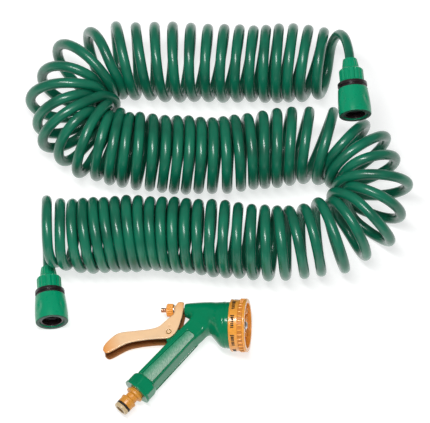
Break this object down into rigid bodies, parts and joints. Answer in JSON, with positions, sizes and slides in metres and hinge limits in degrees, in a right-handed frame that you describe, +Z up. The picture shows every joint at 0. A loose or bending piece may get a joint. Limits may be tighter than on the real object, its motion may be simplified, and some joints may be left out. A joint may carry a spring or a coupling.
{
  "type": "garden hose spray gun",
  "caption": "Rear-trigger spray gun with a turning pattern dial, a quick-connect inlet tail, and a long coiled recoil hose with a quick connector on each end.",
  "frame": {"origin": "under the middle of the spray gun as it lies on its side, on the surface that it lies on", "axes": "+X roughly along the spray, from the lever to the dial; +Y from the gun towards the hose; +Z up"},
  "size_m": [0.4045, 0.4351, 0.1128],
  "materials": {
    "body_green": "moulded, glossy",
    "inlay_mint": "finely textured, matt",
    "trigger_gold": "satin champagne gold",
    "dial_gold": "satin orange gold",
    "plate_grey": "moulded, matt",
    "dark_plastic": "moulded, satin",
    "brass": "turned",
    "steel": "bright stainless",
    "black_rubber": "smooth",
    "hose_green": "smooth flexible polyurethane",
    "connector_green": "moulded, glossy",
    "white_plastic": "acetal"
  },
  "bodies": {
    "root": {"gun_body": "body_green", "inlay_front": "inlay_mint", "inlay_back": "inlay_mint", "handle_collar": "body_green", "inlet_tail": "dial_gold", "tail_oring": "black_rubber", "tail_washer": "black_rubber", "inlet_filter": "steel", "valve_seat": "brass", "gland_nut": "brass", "gland_oring": "black_rubber", "valve_spring": "steel", "pivot_pin": "brass", "pivot_clips": "brass", "spindle_plate": "dark_plastic", "plate_oring": "black_rubber", "port_gasket": "black_rubber", "dial_screw": "steel", "screw_washer": "steel", "detent_ball": "steel", "detent_spring": "steel", "hose_upper_run": "hose_green", "hose_left_bend": "hose_green", "hose_middle_run": "hose_green", "hose_right_bend": "hose_green", "hose_lower_run": "hose_green", "hose_tap_lead": "hose_green", "hose_gun_lead": "hose_green", "tap_body": "dark_plastic", "tap_seal": "black_rubber", "tap_claws": "steel", "tap_spring": "steel", "coupler_body": "dark_plastic", "coupler_seal": "black_rubber", "coupler_claws": "steel", "coupler_spring": "steel"},
    "trigger": {"trigger": "trigger_gold"},
    "stem": {"valve_stem": "brass", "valve_plug": "brass", "plug_washer": "black_rubber"},
    "washer": {"thrust_washer": "steel"},
    "flow_nut": {"flow_nut": "dial_gold"},
    "dial": {"dial_cup": "dial_gold", "pattern_plate": "plate_grey"},
    "tap_sleeve": {"tap_sleeve": "connector_green"},
    "tap_collet": {"tap_collet": "white_plastic"},
    "tap_nut": {"tap_nut": "connector_green"},
    "coupler_sleeve": {"coupler_sleeve": "connector_green"},
    "coupler_collet": {"coupler_collet": "white_plastic"},
    "coupler_nut": {"coupler_nut": "connector_green"}
  },
  "joints": [
    {"name": "trigger_squeeze", "type": "hinge", "parent": "root", "child": "trigger", "pos_m": [-0.00759, 0.02515, 0.0183], "axis": [-0.1417, 0.0345, 0.9893], "range_deg": [0, 14], "stiffness_Nm_per_rad": 3, "springref_deg": -5.73},
    {"name": "stem_pull", "type": "slide", "parent": "root", "child": "stem", "axis": [-0.9871, 0.0708, -0.1438], "range_m": [0, 0.0074], "deforming": ["valve_spring"]},
    {"name": "washer_travel", "type": "slide", "parent": "stem", "child": "washer", "axis": [-0.9871, 0.0708, -0.1438], "range_m": [0, 0.002]},
    {"name": "flow_nut_turn", "type": "hinge", "parent": "washer", "child": "flow_nut", "pos_m": [-0.00767, 0.05442, 0.01727], "axis": [0.9871, -0.0708, 0.1438], "range_deg": [0, 720]},
    {"name": "dial_turn", "type": "hinge", "parent": "root", "child": "dial", "pos_m": [0.0641, 0.03223, 0.02832], "axis": [0.9871, -0.0708, 0.1438], "continuous": true},
    {"name": "tap_sleeve_slide", "type": "slide", "parent": "root", "child": "tap_sleeve", "axis": [-0.0798, 0.9913, 0.1045], "range_m": [0, 0.0028], "stiffness_N_per_m": 1500, "springref_m": -0.003, "deforming": ["tap_spring"]},
    {"name": "tap_collet_slide", "type": "slide", "parent": "root", "child": "tap_collet", "axis": [-0.0798, 0.9913, 0.1045], "range_m": [0, 0.003]},
    {"name": "tap_nut_turn", "type": "hinge", "parent": "tap_collet", "child": "tap_nut", "pos_m": [0.18201, 0.29307, 0.09873], "axis": [0.0798, -0.9913, -0.1045], "range_deg": [0, 540]},
    {"name": "coupler_sleeve_slide", "type": "slide", "parent": "root", "child": "coupler_sleeve", "axis": [-0.0871, 0.9959, -0.0262], "range_m": [0, 0.0028], "stiffness_N_per_m": 1500, "springref_m": -0.003, "deforming": ["coupler_spring"]},
    {"name": "coupler_collet_slide", "type": "slide", "parent": "root", "child": "coupler_collet", "axis": [-0.0871, 0.9959, -0.0262], "range_m": [0, 0.003]},
    {"name": "coupler_nut_turn", "type": "hinge", "parent": "coupler_collet", "child": "coupler_nut", "pos_m": [-0.13506, 0.09029, 0.01634], "axis": [0.0871, -0.9959, 0.0262], "range_deg": [0, 540]}
  ],
  "couplings": [
    {"joint": "stem_pull", "follows": "trigger_squeeze", "m_per_rad": 0.02955},
    {"joint": "flow_nut_turn", "follows": "washer_travel", "rad_per_m": 6280},
    {"joint": "tap_collet_slide", "follows": "tap_nut_turn", "m_per_rad": 0.000318},
    {"joint": "coupler_collet_slide", "follows": "coupler_nut_turn", "m_per_rad": 0.000318}
  ]
}
